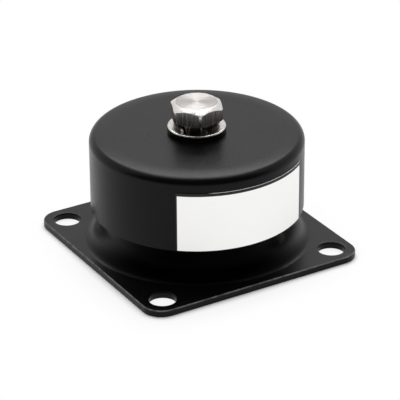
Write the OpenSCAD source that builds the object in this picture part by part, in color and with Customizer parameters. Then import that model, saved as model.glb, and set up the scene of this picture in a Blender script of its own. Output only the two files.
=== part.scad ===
// Rubber anti-vibration mount: a drawn steel cap is pressed over the collar of a square flanged
// base. Inside, a cone of bonded rubber carries a steel core, whose M6 bolt clamps two washers.
// Origin: centre of the flange's underside. +Z points up through the bolt, -Y faces the label.

/* [Cap] */
// Outside diameter of the drawn cap
cup_od = 44; // [43:0.5:48]
// Height of the cap's roof above the mounting face
cup_h = 25.2; // [24:0.1:32]
// Height of the cap's lower edge above the mounting face
cup_edge_z = 8.7; // [7.5:0.1:9]
// Edge round on the outside of that edge
cup_edge_r = 0.3; // [0.1:0.05:0.5]
// Thickness of the cap's coated sheet
sheet_t = 1.5; // [1:0.1:1.6]
// How far in from the rim the drawn roof starts to fall away
crown_w = 3; // [1:0.5:5]
// Slope of the roof where it meets the rim
crown_a = 9; // [4:1:12]
// Outside radius where the roof turns into the wall
rim_r = 1.7; // [1.2:0.1:3]
// Inside radius of the same corner, restruck tighter than the bend
rim_inner_r = 0.4; // [0.2:0.1:0.8]
// Diameter of the hole in the roof that the core's neck passes through
roof_hole_d = 11; // [10:0.1:11.4]

/* [Flanged base] */
// Thickness of the base's coated sheet
plate_t = 1.5; // [1:0.1:1.6]
// Outside radius where the drawn collar turns into the flange
foot_r = 2.2; // [1.2:0.1:2.4]
// Chamfer on the collar's upper outside edge, clear of the cap's inside corner
collar_chamfer = 0.6; // [0.5:0.1:1]
// How far the flange's straight sides stand out past the cap
flange_margin = 2.75; // [2.5:0.25:6]
// Corner radius of the flange
flange_corner_r = 4.2; // [3:0.1:6]
// Edge round along the top of the flange
flange_edge_r = 0.5; // [0.2:0.05:0.7]
// Distance of each mounting hole's centre from the two flange edges next to it
hole_inset = 4.75; // [4:0.25:6]
// Diameter of the mounting holes, clearance for M5
hole_d = 5.5; // [4.5:0.1:6]

/* [Base cover] */
// Thickness of the cover's sheet
cover_t = 1.2; // [0.8:0.1:1.5]
// Height of the cover's turned-up rim, from its underside
cover_rim_h = 5; // [3:0.5:6]
// Outside radius between the cover's floor and its rim
cover_bend_r = 1.6; // [1.5:0.1:2]
// Height of the cover's underside above the mounting face
cover_recess = 1.5; // [0.8:0.1:2]

/* [Outer ring] */
// Thickness of the ring's sheet
ring_t = 1.2; // [0.8:0.1:1.5]
// Outside radius where the ring's cone meets its flat foot
ring_cone_foot_r = 9.5; // [9:0.1:10.5]
// Slope of the ring's cone, and of the core's cone that faces it
cone_a = 45; // [42:1:48]
// Inside radius of the flat foot
ring_foot_ir = 7.6; // [7:0.1:8]

/* [Core] */
// Radius of the neck in the roof hole
neck_r = 4.5; // [4:0.1:4.7]
// How far the core's top face stands above the roof at rest
core_proud = 0.4; // [0.4:0.1:1.5]
// Radius of the shoulder that keeps the core inside the cap
shoulder_r = 10; // [9:0.1:11]
// Height of the shoulder's straight edge
shoulder_t = 1.2; // [0.8:0.1:2]
// Radius of the stem under the cone
stem_r = 5; // [4.5:0.1:6]
// Chamfer on the core's turned edges
core_chamfer = 0.4; // [0.2:0.1:0.6]
// Nominal diameter of the bolt's thread
thread_d = 6; // [5:1:6]
// Countersink at the mouth of the threaded bore
bore_chamfer = 0.3; // [0.1:0.1:0.6]
// Depth of thread below the end of the bolt
thread_spare = 1.7; // [1:0.1:2]
// Point angle of the drill that made the blind bore
drill_point = 118; // [90:1:140]

/* [Rubber] */
// Height on the ring's cone, above the cone's lower end, where the rubber bond starts
bond_start = 3; // [2:0.1:4]
// Height on the ring's cone, below the cone's upper end, where the bond ends
bond_end = 0.75; // [0.5:0.05:1.5]
// How deep the rubber's free faces are hollowed
rubber_hollow = 1.4; // [0.8:0.1:2]
// Thickness of the adhesive between rubber and metal
bond_gap = 0.05; // [0.02:0.01:0.1]

/* [Snubbers] */
// Height of the rubber ring on the core's shoulder
rebound_t = 2.2; // [1.5:0.1:2.5]
// Outside radius of that ring
rebound_r = 9.2; // [8.5:0.1:9.6]
// Gap from that ring to the roof, the travel upwards
rebound_gap = 1.1; // [1.05:0.05:1.5]
// Height of the rubber pad on the base cover
bump_t = 4; // [3:0.1:4.5]
// Radius of that pad
bump_r = 6.4; // [5.5:0.1:6.8]
// Gap from that pad to the core's lower end
bump_gap = 1.5; // [1:0.1:2]
// Edge round on both snubbers
snubber_edge_r = 0.8; // [0.3:0.1:1]

/* [Bolt and washers] */
// Width across the flats of the bolt's head
head_af = 10; // [8:0.1:10]
// Diameter over the head's rounded corners
head_corner_d = 11.2; // [11:0.1:11.5]
// Height of the head
head_h = 3.5; // [3:0.1:4.2]
// Diameter of the turned face on top of the head
head_face_d = 8.6; // [7.5:0.1:9.4]
// Slope of the head's chamfer
head_chamfer_a = 35; // [25:1:45]
// Diameter of the head's bearing face
bearing_d = 10.2; // [9.6:0.1:10.6]
// Height of the chamfer round the bearing face
bearing_chamfer_h = 0.3; // [0.1:0.05:0.4]
// Turn of the head about the bolt's axis
head_turn = 7; // [-30:1:30]
// Length of the bolt below its head
bolt_len = 12; // [10:1:12]
// Chamfer on the end of the bolt
bolt_end_chamfer = 0.7; // [0.3:0.1:1]
// Outside diameter of the flat washer
flat_od = 12; // [11.5:0.1:12.5]
// Hole in the flat washer
flat_id = 6.4; // [6.4:0.1:6.8]
// Thickness of the flat washer
flat_t = 1; // [0.8:0.1:1.6]
// Edge round on the flat washer's upper edge
flat_edge_r = 0.3; // [0.1:0.05:0.5]
// Inside diameter of the spring washer
spring_id = 6.3; // [6.2:0.1:6.6]
// Width of the spring washer's section
spring_w = 1.6; // [1.2:0.1:1.7]
// Height of the spring washer's section
spring_t = 1.6; // [1.2:0.1:1.8]
// Edge round on the spring washer's outside edges
spring_edge_r = 0.2; // [0.1:0.05:0.3]
// Width of the split in the spring washer
split_w = 0.6; // [0.4:0.1:1]
// Slant of the split, from upright
split_slant = 25; // [10:1:35]
// Direction of the split, from +X
split_turn = 207; // [0:1:359]

/* [Label] */
// Length of the label along the cap's wall
label_len = 31; // [20:0.5:40]
// Height of the label
label_h = 12.2; // [8:0.1:12.4]
// Height of the label's lower edge above the cap's
label_lift = 0.2; // [0.1:0.1:0.3]
// Thickness of the label
label_t = 0.12; // [0.08:0.02:0.2]

/* [Fits] */
// Radial clearance between parts that are pressed into each other
press_gap = 0.05; // [0.02:0.01:0.08]
// Radial clearance between the bolt and its thread
thread_gap = 0.05; // [0.02:0.01:0.1]
// Radial clearance round the core's neck inside the rebound ring
neck_gap = 0.3; // [0.1:0.1:0.5]
// Thickness of the label's adhesive
label_gap = 0.02; // [0.01:0.01:0.05]

/* [Hidden] */
$fn = 96;
eps = 0.01;

// Cap
cup_r = cup_od / 2;
cup_ir = cup_r - sheet_t;
roof_z = cup_h - sheet_t;

// Flanged base
collar_r = cup_ir - press_gap;
collar_ir = collar_r - plate_t;
mouth_r = foot_r + plate_t;
flange_w = cup_od + 2 * flange_margin;
flange_c = flange_w / 2 - flange_corner_r;
hole_pitch = flange_w - 2 * hole_inset;
flat_start = collar_r + foot_r;
flat_end = flange_w / 2 - flange_edge_r;

// Base cover and outer ring
plug_r = collar_ir - press_gap;
floor_z = cover_recess + cover_t;
cone_slope = tan(cone_a);
ring_knee_z = floor_z + (plug_r - ring_cone_foot_r) * cone_slope;
ring_inner_foot = [ring_cone_foot_r - ring_t * tan(cone_a / 2), floor_z + ring_t];
ring_inner_knee = [plug_r - ring_t, ring_knee_z + ring_t * tan((90 - cone_a) / 2)];

// Core
core_top = cup_h + core_proud;
shoulder_top = roof_z - rebound_gap - rebound_t;
cone_top = shoulder_top - shoulder_t;
cone_bottom = cone_top - (shoulder_r - stem_r) * cone_slope;
bump_top = floor_z + bump_t;
core_bottom = bump_top + bump_gap;
thread_r = thread_d / 2;

// Bolt and washers, stacked on the core
flat_z = core_top;
spring_z = flat_z + flat_t;
head_z = spring_z + spring_t;
bolt_end = head_z - bolt_len;
bore_end = bolt_end - thread_spare;
head_trim_r = head_corner_d / 2;

// Radius of the arc that has the given chord and depth
function hollow_radius(chord, depth) = (chord * chord / 4 + depth * depth) / (2 * depth);
// Unit vector that points left on the way from a to b
function left_normal(a, b) = [a[1] - b[1], b[0] - a[0]] / norm(b - a);
// Centre, on the left, of the circle that cuts the given depth past the line from a to b
function hollow_centre(a, b, depth) =
    (a + b) / 2 + left_normal(a, b) * (hollow_radius(norm(b - a), depth) - depth);

// Half section of a solid disc whose upper outside corner is round
module round_top_section(r, h, corner_r) {
    square([r, h - corner_r]);
    square([r - corner_r, h]);
    translate([r - corner_r, h - corner_r]) circle(corner_r);
}

// Half section of the drawn cap: the flat roof falls away in a wide arc that runs into the rim
module crowned_section(r, h, corner_r) {
    crown_r = corner_r + crown_w / sin(crown_a);
    crown_x = r - corner_r - crown_w;
    corner_z = h - corner_r - (crown_r - corner_r) * (1 - cos(crown_a));
    square([r, corner_z]);
    square([crown_x, h]);
    translate([r - corner_r, corner_z]) circle(corner_r);
    intersection() {
        translate([crown_x, h - crown_r]) circle(crown_r);
        square([crown_x + crown_r * sin(crown_a), h]);
    }
}

// What is left of a square corner outside a round of radius r
module corner_waste(r) {
    difference() {
        square(r);
        translate([r, r]) circle(r);
    }
}

module housing() {
    color([0.13, 0.13, 0.13]) rotate_extrude() difference() {
        crowned_section(cup_r, cup_h, rim_r);
        translate([0, -eps]) round_top_section(cup_ir, roof_z + eps, rim_inner_r);
        translate([0, roof_z - eps]) square([roof_hole_d / 2, sheet_t + 2 * eps]);
        translate([0, -eps]) square([cup_r + eps, cup_edge_z + eps]);
        translate([cup_r, cup_edge_z]) mirror([1, 0]) corner_waste(cup_edge_r);
    }
}

// Half section of the base's collar and of the flange's inner part, which it turns into
module collar_section() {
    difference() {
        union() {
            square([(flat_start + flat_end) / 2, plate_t]);
            square([collar_r, roof_z]);
            translate([collar_r, plate_t]) corner_waste(foot_r);
        }
        translate([0, -eps]) square([collar_ir, roof_z + 2 * eps]);
        translate([collar_ir, 0]) corner_waste(mouth_r);
        translate([collar_r, roof_z]) rotate(45) square(sqrt(2) * collar_chamfer, center = true);
    }
}

module flange() {
    translate([-flange_c, -flange_c, 0]) cube([2 * flange_c, 2 * flange_c, plate_t]);
    for (a = [0, 90, 180, 270]) rotate(a) {
        translate([flange_c, flange_c, 0])
            rotate_extrude(angle = 90) round_top_section(flange_corner_r, plate_t, flange_edge_r);
        translate([flange_c, flange_c, 0])
            rotate([90, 0, 0])
            linear_extrude(height = 2 * flange_c)
            round_top_section(flange_corner_r, plate_t, flange_edge_r);
    }
}

module flange_base() {
    color([0.15, 0.15, 0.15]) difference() {
        union() {
            difference() {
                flange();
                translate([0, 0, -eps]) cylinder(r = flat_start, h = plate_t + 2 * eps);
            }
            rotate_extrude() collar_section();
        }
        for (x = [-1, 1], y = [-1, 1])
            translate([x * hole_pitch / 2, y * hole_pitch / 2, -eps])
            cylinder(d = hole_d, h = plate_t + 2 * eps);
    }
}

module base_cover() {
    color([0.16, 0.16, 0.16])
        translate([0, 0, cover_recess])
        rotate_extrude() difference() {
            translate([0, cover_rim_h]) mirror([0, 1])
                round_top_section(plug_r, cover_rim_h, cover_bend_r);
            translate([0, cover_rim_h + eps]) mirror([0, 1])
                round_top_section(plug_r - cover_t, cover_rim_h - cover_t + eps,
                                  cover_bend_r - cover_t);
        }
}

module outer_ring() {
    color([0.55, 0.55, 0.53]) rotate_extrude() polygon([
        [ring_foot_ir, floor_z],
        [ring_cone_foot_r, floor_z],
        [plug_r, ring_knee_z],
        [plug_r, roof_z],
        [plug_r - ring_t, roof_z],
        ring_inner_knee,
        ring_inner_foot,
        [ring_foot_ir, floor_z + ring_t]]);
}

module rubber_spring() {
    skin = [0, bond_gap / cos(cone_a)];
    low_out = ring_inner_foot + bond_start * [1 / cone_slope, 1] + skin;
    high_out = ring_inner_knee - bond_end * [1 / cone_slope, 1] + skin;
    low_in = [stem_r, cone_bottom] - skin;
    high_in = [shoulder_r, cone_top] - skin;
    color([0.1, 0.1, 0.1]) rotate_extrude() difference() {
        polygon([low_in, low_out, high_out, high_in]);
        translate(hollow_centre(high_in, high_out, rubber_hollow))
            circle(hollow_radius(norm(high_out - high_in), rubber_hollow));
        translate(hollow_centre(low_out, low_in, rubber_hollow))
            circle(hollow_radius(norm(low_out - low_in), rubber_hollow));
    }
}

module core() {
    drill_h = thread_r / tan(drill_point / 2);
    color([0.6, 0.6, 0.58]) rotate_extrude() difference() {
        polygon([
            [0, core_bottom],
            [stem_r - core_chamfer, core_bottom],
            [stem_r, core_bottom + core_chamfer],
            [stem_r, cone_bottom],
            [shoulder_r, cone_top],
            [shoulder_r, shoulder_top - core_chamfer],
            [shoulder_r - core_chamfer, shoulder_top],
            [neck_r, shoulder_top],
            [neck_r, core_top - core_chamfer],
            [neck_r - core_chamfer, core_top],
            [0, core_top]]);
        polygon([
            [0, bore_end - drill_h],
            [thread_r, bore_end],
            [thread_r, core_top - bore_chamfer],
            [thread_r + bore_chamfer, core_top],
            [thread_r + bore_chamfer, core_top + eps],
            [0, core_top + eps]]);
    }
}

module rebound_snubber() {
    inner_r = neck_r + neck_gap;
    color([0.12, 0.12, 0.12]) translate([0, 0, shoulder_top]) rotate_extrude() difference() {
        round_top_section(rebound_r, rebound_t, snubber_edge_r);
        translate([0, -eps]) square([inner_r, rebound_t + 2 * eps]);
    }
}

module bump_snubber() {
    color([0.12, 0.12, 0.12]) translate([0, 0, floor_z])
        rotate_extrude() round_top_section(bump_r, bump_t, snubber_edge_r);
}

module hex_bolt() {
    face_r = head_face_d / 2;
    chamfer_h = (head_trim_r - face_r) * tan(head_chamfer_a);
    shank_r = thread_r - thread_gap;
    color([0.78, 0.77, 0.74]) union() {
        translate([0, 0, head_z]) intersection() {
            rotate(head_turn) cylinder(d = head_af / cos(30), h = head_h, $fn = 6);
            rotate_extrude() polygon([
                [0, 0],
                [bearing_d / 2, 0],
                [head_trim_r, bearing_chamfer_h],
                [head_trim_r, head_h - chamfer_h],
                [face_r, head_h],
                [0, head_h]]);
        }
        rotate_extrude() polygon([
            [0, bolt_end],
            [shank_r - bolt_end_chamfer, bolt_end],
            [shank_r, bolt_end + bolt_end_chamfer],
            [shank_r, head_z + eps],
            [0, head_z + eps]]);
    }
}

module spring_washer() {
    inner_r = spring_id / 2;
    color([0.7, 0.69, 0.66]) translate([0, 0, spring_z]) difference() {
        rotate_extrude() difference() {
            round_top_section(inner_r + spring_w, spring_t, spring_edge_r);
            translate([0, -eps]) square([inner_r, spring_t + 2 * eps]);
            translate([inner_r + spring_w, 0]) mirror([1, 0]) corner_waste(spring_edge_r);
        }
        rotate(split_turn) translate([inner_r + spring_w / 2, 0, spring_t / 2])
            rotate([split_slant, 0, 0])
            cube([2 * spring_w, split_w, 3 * spring_t], center = true);
    }
}

module flat_washer() {
    color([0.8, 0.79, 0.76]) translate([0, 0, flat_z]) rotate_extrude() difference() {
        round_top_section(flat_od / 2, flat_t, flat_edge_r);
        translate([0, -eps]) square([flat_id / 2, flat_t + 2 * eps]);
    }
}

module label() {
    label_r = cup_r + label_gap;
    label_a = label_len / cup_r * 180 / PI;
    color([0.93, 0.93, 0.92]) translate([0, 0, cup_edge_z + label_lift]) rotate(-90 - label_a / 2)
        rotate_extrude(angle = label_a) translate([label_r, 0]) square([label_t, label_h]);
}

housing();
flange_base();
base_cover();
outer_ring();
rubber_spring();
core();
rebound_snubber();
bump_snubber();
hex_bolt();
spring_washer();
flat_washer();
label();
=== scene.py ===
from math import asin, cos, radians, sin, tan, tau

import bmesh
import bpy
from mathutils import Matrix, Vector


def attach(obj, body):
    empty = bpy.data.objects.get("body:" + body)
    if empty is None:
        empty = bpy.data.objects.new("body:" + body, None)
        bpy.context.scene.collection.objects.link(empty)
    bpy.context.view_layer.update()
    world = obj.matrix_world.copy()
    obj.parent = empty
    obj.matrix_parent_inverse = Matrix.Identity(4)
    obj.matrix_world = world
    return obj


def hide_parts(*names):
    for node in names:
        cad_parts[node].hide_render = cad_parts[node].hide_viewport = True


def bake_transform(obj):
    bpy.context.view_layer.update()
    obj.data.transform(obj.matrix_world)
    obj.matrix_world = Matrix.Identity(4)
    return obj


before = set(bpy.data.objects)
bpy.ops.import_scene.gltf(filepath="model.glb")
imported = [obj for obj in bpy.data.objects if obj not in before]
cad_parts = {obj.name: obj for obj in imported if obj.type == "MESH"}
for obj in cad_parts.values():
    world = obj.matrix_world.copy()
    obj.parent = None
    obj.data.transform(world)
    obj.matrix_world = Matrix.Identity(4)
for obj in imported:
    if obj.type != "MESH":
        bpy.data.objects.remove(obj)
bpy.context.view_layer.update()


# Flanged base
# A square flange with a hole in each corner, pressed from one sheet whose middle is drawn up into a
# collar. A satin black coat covers it, with a painted highlight of lighter grey on the top round of
# its sheared edges. Under the cap's edge the collar turns to near-black metal, as painted shade.
MM = 0.001
SHEET = 1.5
COLLAR_R = 20.45
COLLAR_TOP = 23.7
COLLAR_CHAMFER = 0.6
FOOT_W = 3.2
FOOT_H = 4.6
MOUTH_R = 3.7
FLANGE_HALF = 24.75
FLANGE_CORNER = 4.2
FLANGE_EDGE = 0.25
HOLE_PLACE = 20
HOLE_R = 2.75
TURN_STEPS = 192
HOLE_STEPS = 64
SHADE_FADE_POINTS = 6
LEVEL_ERROR = 0.01
FLAT_WEIGHT = 60
COAT_IOR = 1.235
COAT_DARK = (0.0007, 0.0007, 0.0008, 1)
COAT_LIGHT = (0.0018, 0.0018, 0.0019, 1)
COAT_HIGHLIGHT = (0.10, 0.10, 0.10, 1)


class Value:
    """The output of a node. Arithmetic on it adds Math nodes to the same tree."""

    def __init__(self, tree, socket):
        self.tree = tree
        self.socket = socket

    def math(self, operation, *operands):
        return self.tree.node("ShaderNodeMath", {"operation": operation}, dict(enumerate(operands)))

    def __add__(self, other):
        return self.math("ADD", self, other)

    def __radd__(self, other):
        return self.math("ADD", other, self)

    def __sub__(self, other):
        return self.math("SUBTRACT", self, other)

    def __rsub__(self, other):
        return self.math("SUBTRACT", other, self)

    def __mul__(self, other):
        return self.math("MULTIPLY", self, other)

    def __rmul__(self, other):
        return self.math("MULTIPLY", other, self)

    def __truediv__(self, other):
        return self.math("DIVIDE", self, other)

    def __rtruediv__(self, other):
        return self.math("DIVIDE", other, self)

    def __abs__(self):
        return self.math("ABSOLUTE", self)

    def sine(self):
        return self.math("SINE", self)


class Tree:
    """The node tree of a material or of the world, with one method that adds any node."""

    def __init__(self, owner):
        self.owner = owner
        owner.nodes.clear()

    def node(self, kind, settings=None, sockets=None, output=0):
        """Adds a node with its settings, sets or links its sockets, and gives one of its outputs."""
        made = self.owner.nodes.new(kind)
        for name, value in (settings or {}).items():
            if name == "stops":
                ramp = made.color_ramp.elements
                while len(ramp) < len(value):
                    ramp.new(1)
                for stop, (place, tone) in zip(ramp, value):
                    stop.position = place
                    stop.color = (tone, tone, tone, 1)
            else:
                setattr(made, name, value)
        for key, value in (sockets or {}).items():
            if isinstance(value, Value):
                self.owner.links.new(value.socket, made.inputs[key])
            else:
                made.inputs[key].default_value = value
        return Value(self, made.outputs[output]) if made.outputs else None

    def place(self):
        """The surface's place in the shared frame."""
        return self.node("ShaderNodeTexCoord", output="Object")

    def upright(self):
        """How far the surface faces up, from 0 on a wall to 1 on a level top."""
        normal = self.node("ShaderNodeNewGeometry", output="Normal")
        return self.node("ShaderNodeSeparateXYZ", {}, {0: normal}, "Z")

    def marked(self, name):
        """The number that the mesh's points carry under this name."""
        return self.node("ShaderNodeAttribute", {"attribute_name": name}, output="Fac")

    def vector(self, operation, *operands, output="Vector"):
        sockets = dict(enumerate(operands))
        return self.node("ShaderNodeVectorMath", {"operation": operation}, sockets, output)

    def noise(self, size, detail=2.0, stretch=(1, 1, 1)):
        """A cloud pattern of about 0 to 1 whose features are about as large as the size given."""
        placed = self.vector("MULTIPLY", self.place(), stretch)
        sockets = {"Vector": placed, "Scale": 1 / size, "Detail": detail}
        return self.node("ShaderNodeTexNoise", {}, sockets)

    def blend(self, factor, dark, light):
        """A colour that goes from dark to light with the factor."""
        sockets = {0: factor, 6: dark, 7: light}
        return self.node("ShaderNodeMix", {"data_type": "RGBA"}, sockets, output=2)

    def spread(self, factor, low, high, start=0.0, end=1.0):
        """A number that goes from low to high while the factor goes from start to end."""
        limits = {"From Min": start, "From Max": end, "To Min": low, "To Max": high}
        return self.node("ShaderNodeMapRange", {"clamp": True}, {"Value": factor, **limits})

    def bump(self, height, depth, normal=None):
        """A normal for a relief whose height, from 0 to 1, stands for the depth in metres."""
        sockets = {"Strength": 1.0, "Distance": depth, "Height": height}
        if normal is not None:
            sockets["Normal"] = normal
        return self.node("ShaderNodeBump", {}, sockets)


def make_finish(name, layers, **constants):
    """A material whose layers function gives the shader's sockets that vary over the surface."""
    finish = bpy.data.materials.new(name)
    finish.use_nodes = True
    tree = Tree(finish.node_tree)
    shader = tree.node("ShaderNodeBsdfPrincipled", {}, {**constants, **layers(tree)})
    tree.node("ShaderNodeOutputMaterial", {}, {"Surface": shader})
    return finish


def coat_layers(tree):
    cloud = tree.noise(9 * MM, detail=3)
    peel = tree.noise(1.1 * MM, detail=1)
    grain = tree.noise(0.16 * MM, detail=2)
    flow = tree.bump(peel, 0.005 * MM)
    colour = tree.blend(tree.spread(grain, 0, 1, start=0.3, end=0.7), COAT_DARK, COAT_LIGHT)
    # Lighter grey on the top round of the flange's edges, patchy with the peel: a painted highlight.
    edge_highlight = tree.marked("thin_coat") * tree.spread(peel, 0.4, 1, start=0.3, end=0.6)
    return {
        "Base Color": tree.blend(edge_highlight, colour, COAT_HIGHLIGHT),
        "Roughness": tree.spread(0.6 * cloud + 0.4 * peel, 0.26, 0.33, start=0.3, end=0.7),
        # The marked collar is near-black metal: painted shade.
        "Metallic": tree.marked("uncoated"),
        "Normal": tree.bump(grain, 0.0045 * MM, flow),
    }


def arc(centre, radius, start, end, steps=8):
    """The points of a round in a section, from one angle to another in degrees."""
    angles = [radians(start + (end - start) * step / steps) for step in range(steps + 1)]
    return [(centre[0] + radius * cos(angle), centre[1] + radius * sin(angle)) for angle in angles]


def circle_loop(mesh, radius, height, centre=(0, 0), steps=TURN_STEPS):
    """A circle of points, round the mount's axis unless a centre is given."""
    places = arc(centre, radius, 0, 360 - 360 / steps, steps - 1)
    return [mesh.verts.new((x * MM, y * MM, height * MM)) for x, y in places]


def flange_loop(mesh, inset, height):
    """The flange's outline with its round corners, drawn in by the inset."""
    middle = FLANGE_HALF - FLANGE_CORNER
    corner = arc((middle, middle), FLANGE_CORNER - inset, 0, 90, steps=16)
    return [
        mesh.verts.new(Matrix.Rotation(radians(turn), 3, "Z") @ Vector((x, y, height)) * MM)
        for turn in (0, 90, 180, 270)
        for x, y in corner
    ]


def join_loops(mesh, loops):
    """Faces between each loop of points and the next."""
    for lower, upper in zip(loops, loops[1:]):
        for here in range(len(lower)):
            mesh.faces.new((lower[here - 1], lower[here], upper[here], upper[here - 1]))


def finished_piece(name, mesh, finish):
    """A smooth-shaded object from a built mesh, whose flat faces stay flat beside their rounds."""
    bmesh.ops.recalc_face_normals(mesh, faces=mesh.faces)
    data = bpy.data.meshes.new(name)
    mesh.to_mesh(data)
    mesh.free()
    data.shade_smooth()
    piece = bpy.data.objects.new(name, data)
    bpy.context.scene.collection.objects.link(piece)
    data.materials.append(finish)
    piece.modifiers.new("flat faces stay flat", "WEIGHTED_NORMAL").weight = FLAT_WEIGHT
    return piece


black_coat = make_finish("satin black coat", coat_layers, IOR=COAT_IOR)
sheared = arc((FLANGE_EDGE, SHEET - FLANGE_EDGE), FLANGE_EDGE, 90, 180, steps=4)
sheared += arc((FLANGE_EDGE, FLANGE_EDGE), FLANGE_EDGE, 180, 270, steps=4)
inside = COLLAR_R - SHEET
foot = arc((0, 0), 1, 270, 180, steps=20)
collar = [(COLLAR_R + FOOT_W * (1 + x), SHEET + FOOT_H * (1 + z)) for x, z in foot]
collar += [(COLLAR_R, COLLAR_TOP - COLLAR_CHAMFER), (COLLAR_R - COLLAR_CHAMFER, COLLAR_TOP)]
collar += [(inside, COLLAR_TOP)] + arc((inside + MOUTH_R, MOUTH_R), MOUTH_R, 180, 270, steps=12)
mesh = bmesh.new()
thin_coat = mesh.verts.layers.float.new("thin_coat")
outline = [flange_loop(mesh, inset, height) for inset, height in sheared]
# The top round of the flange's edge carries the painted highlight.
for point in outline[1] + outline[2] + outline[3]:
    point[thin_coat] = 1
join_loops(mesh, outline)
# Under the cap's edge the collar is marked to turn near-black metal, painted shade fading in up the
# foot.
uncoated = mesh.verts.layers.float.new("uncoated")
loops = [circle_loop(mesh, radius, height) for radius, height in collar]
for place, loop in enumerate(loops):
    for point in loop:
        point[uncoated] = min(place / SHADE_FADE_POINTS, 1)
join_loops(mesh, loops)
for x in (-HOLE_PLACE, HOLE_PLACE):
    for y in (-HOLE_PLACE, HOLE_PLACE):
        hole = [
            circle_loop(mesh, HOLE_R + inset, height, (x, y), HOLE_STEPS)
            for inset, height in sheared
        ]
        join_loops(mesh, hole)
open_edges = [(edge, edge.verts[0].co.z / MM) for edge in mesh.edges if edge.is_boundary]
for face in (0, SHEET):
    rims = [edge for edge, height in open_edges if abs(height - face) < LEVEL_ERROR]
    bmesh.ops.triangle_fill(mesh, use_beauty=True, edges=rims, normal=(0, 0, 1))
flange_base = finished_piece("coated_flange_base", mesh, black_coat)
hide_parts("flange_base")
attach(flange_base, "base")


# Outer ring and core
# The two steel parts that the rubber is bonded to, a pressed ring and a turned core. Both are
# zinc plated and hidden inside the cap, so they keep the solids' own surfaces.
ZINC_DARK = (0.36, 0.365, 0.37, 1)
ZINC_LIGHT = (0.52, 0.52, 0.51, 1)


def zinc_layers(tree):
    bloom = tree.noise(4 * MM, detail=4)
    return {
        "Base Color": tree.blend(bloom, ZINC_DARK, ZINC_LIGHT),
        "Roughness": tree.spread(bloom, 0.32, 0.5),
        "Normal": tree.bump(tree.noise(0.3 * MM), 0.004 * MM),
    }


zinc_steel = make_finish("zinc plated steel", zinc_layers, Metallic=1.0)
for node in ("outer_ring", "core"):
    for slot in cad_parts[node].material_slots:
        slot.material = zinc_steel


# Rubber
# The moulded cone between ring and core, and the two stops that limit the core's bounce. The rubber
# is black and matt, with the mould's fine texture and a dusty bloom.
RING_BOND_LOW = (12.003, 6.971)
RING_BOND_HIGH = (16.947, 11.918)
CORE_BOND_LOW = (5, 14.129)
CORE_BOND_HIGH = (10, 19.129)
FREE_FACE_HOLLOW = 1.4
STOP_EDGE = 0.8
REBOUND_LOW = 20.4
REBOUND_HIGH = 22.6
REBOUND_R = 9.2
REBOUND_HOLE_R = 4.8
BUMP_LOW = 2.7
BUMP_HIGH = 6.7
BUMP_R = 6.4
MIDDLE_R = 1
RUBBER_BLACK = (0.012, 0.012, 0.012, 1)
RUBBER_BLOOM = (0.03, 0.03, 0.029, 1)


def rubber_layers(tree):
    bloom = tree.noise(3 * MM, detail=4)
    dusty = tree.spread(bloom, 0, 1, start=0.35, end=0.75)
    return {
        "Base Color": tree.blend(dusty, RUBBER_BLACK, RUBBER_BLOOM),
        "Roughness": tree.spread(bloom, 0.6, 0.8),
        "Normal": tree.bump(tree.noise(0.25 * MM, detail=3), 0.01 * MM),
    }


def turned_piece(name, section, finish):
    """A piece that is round about the mount's axis, from the closed outline of its half section."""
    mesh = bmesh.new()
    loops = [circle_loop(mesh, radius, height) for radius, height in section]
    join_loops(mesh, loops + loops[:1])
    return finished_piece(name, mesh, finish)


def disc_piece(name, section, finish):
    """A piece that is round about the axis and closed there by a flat face above and below."""
    mesh = bmesh.new()
    loops = [circle_loop(mesh, radius, height) for radius, height in section]
    join_loops(mesh, loops)
    mesh.faces.new(loops[0])
    mesh.faces.new(loops[-1])
    return finished_piece(name, mesh, finish)


def free_face(start, end, steps=14):
    """The points of a hollow face of the rubber, between the ends of its two bonds."""
    start, end = Vector(start), Vector(end)
    inwards = (end - start).orthogonal().normalized() * FREE_FACE_HOLLOW
    parts = [step / steps for step in range(steps + 1)]
    return [start.lerp(end, part) + inwards * 4 * part * (1 - part) for part in parts]


moulded_rubber = make_finish("moulded rubber", rubber_layers)
cone = free_face(RING_BOND_HIGH, CORE_BOND_HIGH) + free_face(CORE_BOND_LOW, RING_BOND_LOW)
spring = turned_piece("moulded_rubber_cone", cone, moulded_rubber)
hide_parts("rubber_spring")
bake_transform(spring)

rebound = [(REBOUND_HOLE_R, REBOUND_LOW), (REBOUND_R, REBOUND_LOW)]
rebound += arc((REBOUND_R - STOP_EDGE, REBOUND_HIGH - STOP_EDGE), STOP_EDGE, 0, 90)
rebound += [(REBOUND_HOLE_R, REBOUND_HIGH)]
rebound_stop = turned_piece("moulded_rebound_ring", rebound, moulded_rubber)
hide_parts("rebound_snubber")
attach(rebound_stop, "core")

bump = [(MIDDLE_R, BUMP_LOW), (BUMP_R, BUMP_LOW)]
bump += arc((BUMP_R - STOP_EDGE, BUMP_HIGH - STOP_EDGE), STOP_EDGE, 0, 90)
bump += [(MIDDLE_R, BUMP_HIGH)]
bump_stop = disc_piece("moulded_bump_pad", bump, moulded_rubber)
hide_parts("bump_snubber")
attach(bump_stop, "base")


# Base cover
# A shallow pressed pan that closes the collar's mouth from below. It has the same coat.
COVER_R = 18.9
COVER_T = 1.2
COVER_LOW = 1.5
COVER_RIM = 5
COVER_BEND = 1.6
COVER_LIP = 0.2

bend = (COVER_R - COVER_BEND, COVER_LOW + COVER_BEND)
lip_z = COVER_LOW + COVER_RIM - COVER_LIP
pan = [(MIDDLE_R, COVER_LOW)] + arc(bend, COVER_BEND, 270, 360)
pan += arc((COVER_R - COVER_LIP, lip_z), COVER_LIP, 0, 90, steps=3)
pan += arc((COVER_R - COVER_T + COVER_LIP, lip_z), COVER_LIP, 90, 180, steps=3)
pan += arc(bend, COVER_BEND - COVER_T, 360, 270) + [(MIDDLE_R, COVER_LOW + COVER_T)]
cover = disc_piece("coated_base_cover", pan, black_coat)
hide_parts("base_cover")
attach(cover, "base")


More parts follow.
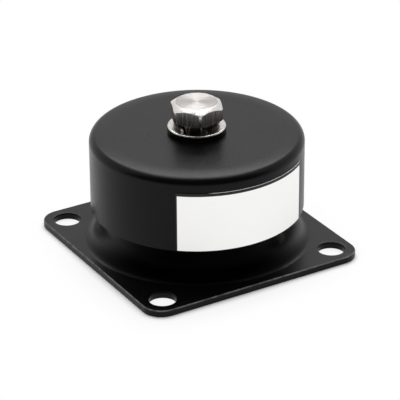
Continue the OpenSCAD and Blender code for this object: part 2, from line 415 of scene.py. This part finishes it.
# Cap
# A round cap deep drawn from the same sheet, with a crowned roof, a round rim and a pierced hole in
# the roof. It is pressed over the base's collar and has the same coat.
CAP_R = 22
CAP_EDGE = 8.8
CAP_TOP = 25.2
CROWN_W = 3
CROWN_A = 9
RIM_R = 1.7
RIM_INNER_R = 0.4
ROOF_HOLE_R = 5.5
EDGE_ROUND = 0.3
HOLE_ROUND = 0.15
INNER_ROUND = 0.1

crown_r = RIM_R + CROWN_W / sin(radians(CROWN_A))
crown_start = CAP_R - RIM_R - CROWN_W
rim_z = CAP_TOP - RIM_R - (crown_r - RIM_R) * (1 - cos(radians(CROWN_A)))
cap_inside = CAP_R - SHEET
shell = arc((CAP_R - EDGE_ROUND, CAP_EDGE + EDGE_ROUND), EDGE_ROUND, 270, 360, steps=4)
shell += arc((CAP_R - RIM_R, rim_z), RIM_R, 0, 90 - CROWN_A, steps=16)
shell += arc((crown_start, CAP_TOP - crown_r), crown_r, 90 - CROWN_A, 90, steps=12)[1:]
shell += arc((ROOF_HOLE_R + HOLE_ROUND, CAP_TOP - HOLE_ROUND), HOLE_ROUND, 90, 180, steps=4)
hole_inside = (ROOF_HOLE_R + INNER_ROUND, COLLAR_TOP + INNER_ROUND)
shell += arc(hole_inside, INNER_ROUND, 180, 270, steps=2)
rim_inside = (cap_inside - RIM_INNER_R, COLLAR_TOP - RIM_INNER_R)
shell += arc(rim_inside, RIM_INNER_R, 90, 0, steps=4)
edge_inside = (cap_inside + INNER_ROUND, CAP_EDGE + INNER_ROUND)
shell += arc(edge_inside, INNER_ROUND, 180, 270, steps=2)
cap = turned_piece("coated_cap", shell, black_coat)
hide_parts("housing")
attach(cap, "base")


# Label
# A white label with square corners, left blank, stuck on the front of the cap's wall. A narrow
# black border runs round its white field, except below. The cut edge along the top is black, with a
# painted highlight of white that fades in towards the right.
LABEL_IN = 22.02
LABEL_OUT = 22.14
LABEL_LOW = 9.2
FIELD_TOP = 21.25
LABEL_TOP = 21.95
FIELD_LEFT = -131.1
FIELD_RIGHT = -52.4
LABEL_ROUND = 0.03
LABEL_STEPS = 64
BORDER_TURN = 0.7
BORDER_EDGE = 0.02
BORDER_EDGE_TURN = 0.05
CUT_DEPTH = 0.04
CUT_GLINT_START = -128
CUT_GLINT_FULL = -100
LABEL_WHITE = (0.93, 0.925, 0.915, 1)
LABEL_SHADE = (0.90, 0.895, 0.885, 1)
BORDER_BLACK = (0.001, 0.001, 0.001, 1)


def label_layers(tree):
    mottle = tree.noise(2.5 * MM, detail=3)
    # Black for the printed border; on the top cut, white where a painted highlight fades in to the
    # right.
    black_share = tree.spread(tree.marked("border"), 0, 1, start=0.45, end=0.55)
    white = tree.blend(mottle, LABEL_SHADE, LABEL_WHITE)
    return {
        "Base Color": tree.blend(black_share, white, BORDER_BLACK),
        "Roughness": tree.spread(mottle, 0.45, 0.55),
        "Normal": tree.bump(tree.noise(0.5 * MM), 0.002 * MM),
    }


white_film = make_finish("white label film", label_layers)
section = [
    (LABEL_IN, LABEL_LOW),
    (LABEL_OUT - LABEL_ROUND, LABEL_LOW),
    (LABEL_OUT, LABEL_LOW + LABEL_ROUND),
    (LABEL_OUT, FIELD_TOP),
    (LABEL_OUT, FIELD_TOP + BORDER_EDGE),
    (LABEL_OUT, LABEL_TOP - CUT_DEPTH),
    (LABEL_OUT - LABEL_ROUND / 3, LABEL_TOP - CUT_DEPTH / 2),
    (LABEL_OUT - LABEL_ROUND, LABEL_TOP),
    (LABEL_IN, LABEL_TOP),
]
label_left = FIELD_LEFT - BORDER_TURN
label_right = FIELD_RIGHT + BORDER_TURN
turns = [label_left, label_left + BORDER_EDGE_TURN, FIELD_LEFT - BORDER_EDGE_TURN]
turns += [
    FIELD_LEFT + (FIELD_RIGHT - FIELD_LEFT) * step / LABEL_STEPS
    for step in range(LABEL_STEPS + 1)
]
turns += [FIELD_RIGHT + BORDER_EDGE_TURN, label_right - BORDER_EDGE_TURN, label_right]
mesh = bmesh.new()
border = mesh.verts.layers.float.new("border")
loops = []
for turn in turns:
    across = Vector((cos(radians(turn)), sin(radians(turn)), 0))
    beside = not FIELD_LEFT <= turn <= FIELD_RIGHT
    # On the top cut, a painted highlight of white fades in towards the right.
    unlit_cut = min(max((CUT_GLINT_FULL - turn) / (CUT_GLINT_FULL - CUT_GLINT_START), 0), 1)
    loop = []
    for radius, height in section:
        point = mesh.verts.new((across * radius + Vector((0, 0, height))) * MM)
        cut = height > LABEL_TOP - CUT_DEPTH
        above = height > FIELD_TOP
        point[border] = unlit_cut if cut else float(beside or above)
        loop.append(point)
    loops.append(loop)
join_loops(mesh, loops)
mesh.faces.new(loops[0])
mesh.faces.new(loops[-1])
label = finished_piece("blank_label", mesh, white_film)
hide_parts("label")
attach(label, "base")


# Flat washer
# A stamped stainless washer. The punch leaves its faces nearly smooth and its upper edge rounded.
# Its sheared side is painted near black, as painted shade.
STEEL_DARK = (0.52, 0.495, 0.47, 1)
STEEL_LIGHT = (0.66, 0.635, 0.61, 1)
STEEL_SIDE_SHADE = (0.05, 0.047, 0.044, 1)
WASHER_LOW = 25.6
WASHER_TOP = 26.6
WASHER_R = 6
WASHER_HOLE_R = 3.2
WASHER_ROUND = 0.3
WASHER_HOLE_ROUND = 0.1


def stamped_layers(tree):
    cloud = tree.noise(1.5 * MM, detail=3)
    scratch = tree.noise(0.2 * MM, detail=2, stretch=(1, 0.15, 1))
    # Upright faces get a near-black colour: painted shade.
    shaded_side = tree.spread(tree.upright(), 1, 0, start=0.05, end=0.35)
    return {
        "Base Color": tree.blend(shaded_side, tree.blend(cloud, STEEL_DARK, STEEL_LIGHT), STEEL_SIDE_SHADE),
        "Roughness": tree.spread(cloud, 0.16, 0.24, start=0.3, end=0.7),
        "Normal": tree.bump(scratch, 0.003 * MM),
    }


stamped_steel = make_finish("stamped stainless steel", stamped_layers, Metallic=1.0)
blank = [(WASHER_HOLE_R, WASHER_LOW), (WASHER_R, WASHER_LOW)]
blank += arc((WASHER_R - WASHER_ROUND, WASHER_TOP - WASHER_ROUND), WASHER_ROUND, 0, 90)
hole_edge = (WASHER_HOLE_R + WASHER_HOLE_ROUND, WASHER_TOP - WASHER_HOLE_ROUND)
blank += arc(hole_edge, WASHER_HOLE_ROUND, 90, 180, steps=4)
washer = turned_piece("stamped_washer", blank, stamped_steel)
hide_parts("flat_washer")
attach(washer, "core")


# Spring washer
# One turn of steel bar, split on a slant and pressed flat under the tightened bolt. The drawn bar is
# painted near black as painted shade, with bright spots at random that are painted glints.
BAR_SHADE = (0.03, 0.027, 0.025, 1)
BAR_GLINT = (0.62, 0.59, 0.55, 1)
BAR_IN = 3.15
BAR_OUT = 4.75
BAR_LOW = 26.6
BAR_TOP = 28.2
BAR_ROUND = 0.2
BAR_STEPS = 96
BAR_END_STEP = 0.003
SPLIT_TURN = 207
SPLIT_WIDTH = 0.6
SPLIT_SLANT = radians(25)


def bar_layers(tree):
    spots = tree.noise(1.1 * MM, detail=2, stretch=(1, 1, 0.5))
    # A near-black base as painted shade, with bright spots of painted glint.
    glinting = tree.spread(spots, 0, 1, start=0.54, end=0.64)
    return {
        "Base Color": tree.blend(glinting, BAR_SHADE, BAR_GLINT),
        "Roughness": tree.spread(spots, 0.30, 0.18, start=0.4, end=0.7),
        "Normal": tree.bump(tree.noise(0.4 * MM), 0.006 * MM),
    }


drawn_bar = make_finish("drawn bar steel", bar_layers, Metallic=1.0)
bar = [(BAR_IN, BAR_LOW)]
bar += arc((BAR_OUT - BAR_ROUND, BAR_LOW + BAR_ROUND), BAR_ROUND, 270, 360, steps=4)
bar += arc((BAR_OUT - BAR_ROUND, BAR_TOP - BAR_ROUND), BAR_ROUND, 0, 90, steps=4)
bar += [(BAR_IN, BAR_TOP)]
half_split = SPLIT_WIDTH / 2 / cos(SPLIT_SLANT)
even_parts = [step / BAR_STEPS for step in range(1, BAR_STEPS)]
parts = [0, BAR_END_STEP] + even_parts + [1 - BAR_END_STEP, 1]
mesh = bmesh.new()
loops = []
for part in parts:
    loop = []
    for radius, height in bar:
        lean = ((BAR_LOW + BAR_TOP) / 2 - height) * tan(SPLIT_SLANT)
        start = asin((lean + half_split) / radius)
        end = tau + asin((lean - half_split) / radius)
        turn = radians(SPLIT_TURN) + start + (end - start) * part
        loop.append(mesh.verts.new((radius * cos(turn) * MM, radius * sin(turn) * MM, height * MM)))
    loops.append(loop)
join_loops(mesh, loops)
mesh.faces.new(loops[0])
mesh.faces.new(loops[-1])
lock = finished_piece("split_spring_washer", mesh, drawn_bar)
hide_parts("spring_washer")
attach(lock, "core")


# Bolt
# A stainless hex bolt, turned from drawn bar. The lathe leaves rings on the top face and a bright
# chamfer, and the flats keep the upright streaks of the drawn bar. The top face is painted darker
# than the rest of the steel, as painted shade.
FACE_RING = 0.15 * MM
FACE_SHADE_DARK = (0.34, 0.325, 0.31, 1)
FACE_SHADE_LIGHT = (0.43, 0.41, 0.395, 1)
STREAK_DARK = (0.26, 0.245, 0.225, 1)
MERGE_GAP = 0.001
FACET_TURN = radians(0.5)
SHARP_TURN = radians(25)
EDGE_BREAK = 0.03


def bolt_layers(tree):
    upright = tree.upright()
    radius = tree.vector("LENGTH", tree.vector("MULTIPLY", tree.place(), (1, 1, 0)), output="Value")
    rings = 0.5 + 0.5 * (radius * (tau / FACE_RING)).sine()
    streaks = tree.noise(0.18 * MM, detail=2, stretch=(1, 1, 0.06))
    cloud = tree.noise(1.2 * MM, detail=3)
    turned = tree.spread(upright, 0, 1, start=0.3, end=0.6)
    relief = turned * rings * 0.8 + (1 - turned) * streaks * 0.6
    drawn = (1 - turned) * tree.spread(streaks, 1, 0, start=0.36, end=0.60)
    # The level top face gets a darker colour than the rest of the steel: painted shade.
    face = tree.spread(upright, 0, 1, start=0.9, end=0.97)
    bare = tree.blend(face, STEEL_LIGHT, tree.blend(cloud, FACE_SHADE_DARK, FACE_SHADE_LIGHT))
    return {
        "Base Color": tree.blend(drawn, bare, STREAK_DARK),
        "Roughness": tree.spread(turned, 0.22, 0.24),
        "Normal": tree.bump(relief, 0.010 * MM),
    }


turned_steel = make_finish("turned stainless steel", bolt_layers, Metallic=1.0)
mesh = bmesh.new()
mesh.from_mesh(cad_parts["hex_bolt"].data)
bmesh.ops.remove_doubles(mesh, verts=mesh.verts, dist=MERGE_GAP * MM)
bmesh.ops.dissolve_limit(mesh, angle_limit=FACET_TURN, verts=mesh.verts, edges=mesh.edges)
sharp = [edge for edge in mesh.edges if edge.calc_face_angle() > SHARP_TURN]
bmesh.ops.bevel(mesh, geom=sharp, offset=EDGE_BREAK * MM, segments=3, profile=0.5, affect="EDGES")
bolt = finished_piece("turned_bolt", mesh, turned_steel)
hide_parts("hex_bolt")
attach(bolt, "core")


# Studio
# A pale floor with a light shadow close to the mount, left out when seen from below. One large
# softbox stands behind and above, in a white surround that is dark only towards the viewer. The
# viewpoint is the photograph's.
VIEW_TURN = radians(-30.77)
VIEW_RISE = radians(27.02)
VIEW_ROLL = radians(-0.37)
VIEW_REACH = 480.4 * MM
VIEW_LENS = 209.3
SENSOR = 36
AIM = Vector((0.66, 0, 9.17)) * MM
FLOOR_R = 3000 * MM
FLOOR_DROP = 0.02 * MM
FLOOR_GREY = (0.62, 0.62, 0.62, 1)
SHADOW_END = 20 * MM
SHADOW_FADE = [(0, 0.1), (0.08, 0.78), (0.35, 0.96), (1, 1)]
SOFTBOX_SIZE = 800 * MM
SOFTBOX_REACH = 1000 * MM
SOFTBOX_RISE = radians(60)
SOFTBOX_POWER = 10.0
SURROUND = 1.0
GLOSSY_BRIGHT = 0.92
GLOSSY_DARK = 0.02
WHITE = (1, 1, 1, 1)


def floor_shader(tree):
    """White away from the flange, matt grey near its outline: painted shadow that takes the cast one
    too.
    """
    middle = (FLANGE_HALF - FLANGE_CORNER) * MM
    past = tree.vector("SUBTRACT", tree.vector("ABSOLUTE", tree.place()), [middle] * 3)
    reach = tree.vector("LENGTH", tree.vector("MAXIMUM", past, (0, 0, 0)), output="Value")
    gap = abs(reach - FLANGE_CORNER * MM)
    glow = tree.node("ShaderNodeValToRGB", {"stops": SHADOW_FADE}, {"Fac": gap / SHADOW_END})
    matt = tree.node("ShaderNodeBsdfDiffuse", {}, {"Color": FLOOR_GREY})
    lit = tree.node("ShaderNodeEmission", {}, {"Color": WHITE, "Strength": 1.0})
    top = tree.node("ShaderNodeMixShader", {}, {0: glow, 1: matt, 2: lit})
    from_above = tree.node("ShaderNodeNewGeometry", output="Backfacing")
    none = tree.node("ShaderNodeBsdfTransparent")
    return tree.node("ShaderNodeMixShader", {}, {0: from_above, 1: none, 2: top})


pale_floor = bpy.data.materials.new("pale floor")
pale_floor.use_nodes = True
tree = Tree(pale_floor.node_tree)
tree.node("ShaderNodeOutputMaterial", {}, {"Surface": floor_shader(tree)})
mesh = bmesh.new()
bmesh.ops.create_circle(mesh, cap_ends=True, segments=64, radius=FLOOR_R)
bmesh.ops.translate(mesh, vec=(0, 0, -FLOOR_DROP), verts=mesh.verts)
floor = finished_piece("floor", mesh, pale_floor)

away = Vector((-sin(VIEW_TURN), cos(VIEW_TURN), 0))
softbox_data = bpy.data.lights.new("softbox", "AREA")
softbox_data.size = SOFTBOX_SIZE
softbox_data.energy = SOFTBOX_POWER
softbox = bpy.data.objects.new("softbox", softbox_data)
towards = away * cos(SOFTBOX_RISE) + Vector((0, 0, sin(SOFTBOX_RISE)))
softbox.location = AIM + towards * SOFTBOX_REACH
softbox.rotation_mode = "QUATERNION"
softbox.rotation_quaternion = towards.to_track_quat("Z", "Y")
bpy.context.scene.collection.objects.link(softbox)

world = bpy.data.worlds.new("surround")
bpy.context.scene.world = world
world.use_nodes = True
tree = Tree(world.node_tree)
direction = tree.node("ShaderNodeTexCoord", output="Generated")
facing = tree.vector("DOT_PRODUCT", direction, -away, output="Value")
reflected = tree.spread(facing, GLOSSY_BRIGHT, GLOSSY_DARK, start=0.05, end=0.30)
seen = tree.node("ShaderNodeLightPath", output="Is Camera Ray")
glossy = tree.node("ShaderNodeLightPath", output="Is Glossy Ray")
strength = seen + (1 - seen) * (glossy * reflected + (1 - glossy) * SURROUND)
surround = tree.node("ShaderNodeBackground", {}, {"Color": WHITE, "Strength": strength})
tree.node("ShaderNodeOutputWorld", {}, {"Surface": surround})

back = Vector((sin(VIEW_TURN) * cos(VIEW_RISE), -cos(VIEW_TURN) * cos(VIEW_RISE), sin(VIEW_RISE)))
level = Vector((cos(VIEW_TURN), sin(VIEW_TURN), 0))
upwards = back.cross(level)
right = level * cos(VIEW_ROLL) + upwards * sin(VIEW_ROLL)
up = upwards * cos(VIEW_ROLL) - level * sin(VIEW_ROLL)
viewpoint = Matrix((right, up, back)).transposed().to_4x4()
viewpoint.translation = AIM + back * VIEW_REACH
camera_data = bpy.data.cameras.new("camera")
camera_data.sensor_width = SENSOR
camera_data.lens = VIEW_LENS
camera = bpy.data.objects.new("camera", camera_data)
camera.matrix_world = viewpoint
bpy.context.scene.collection.objects.link(camera)
bpy.context.scene.camera = camera
bpy.context.scene.view_settings.view_transform = "Standard"
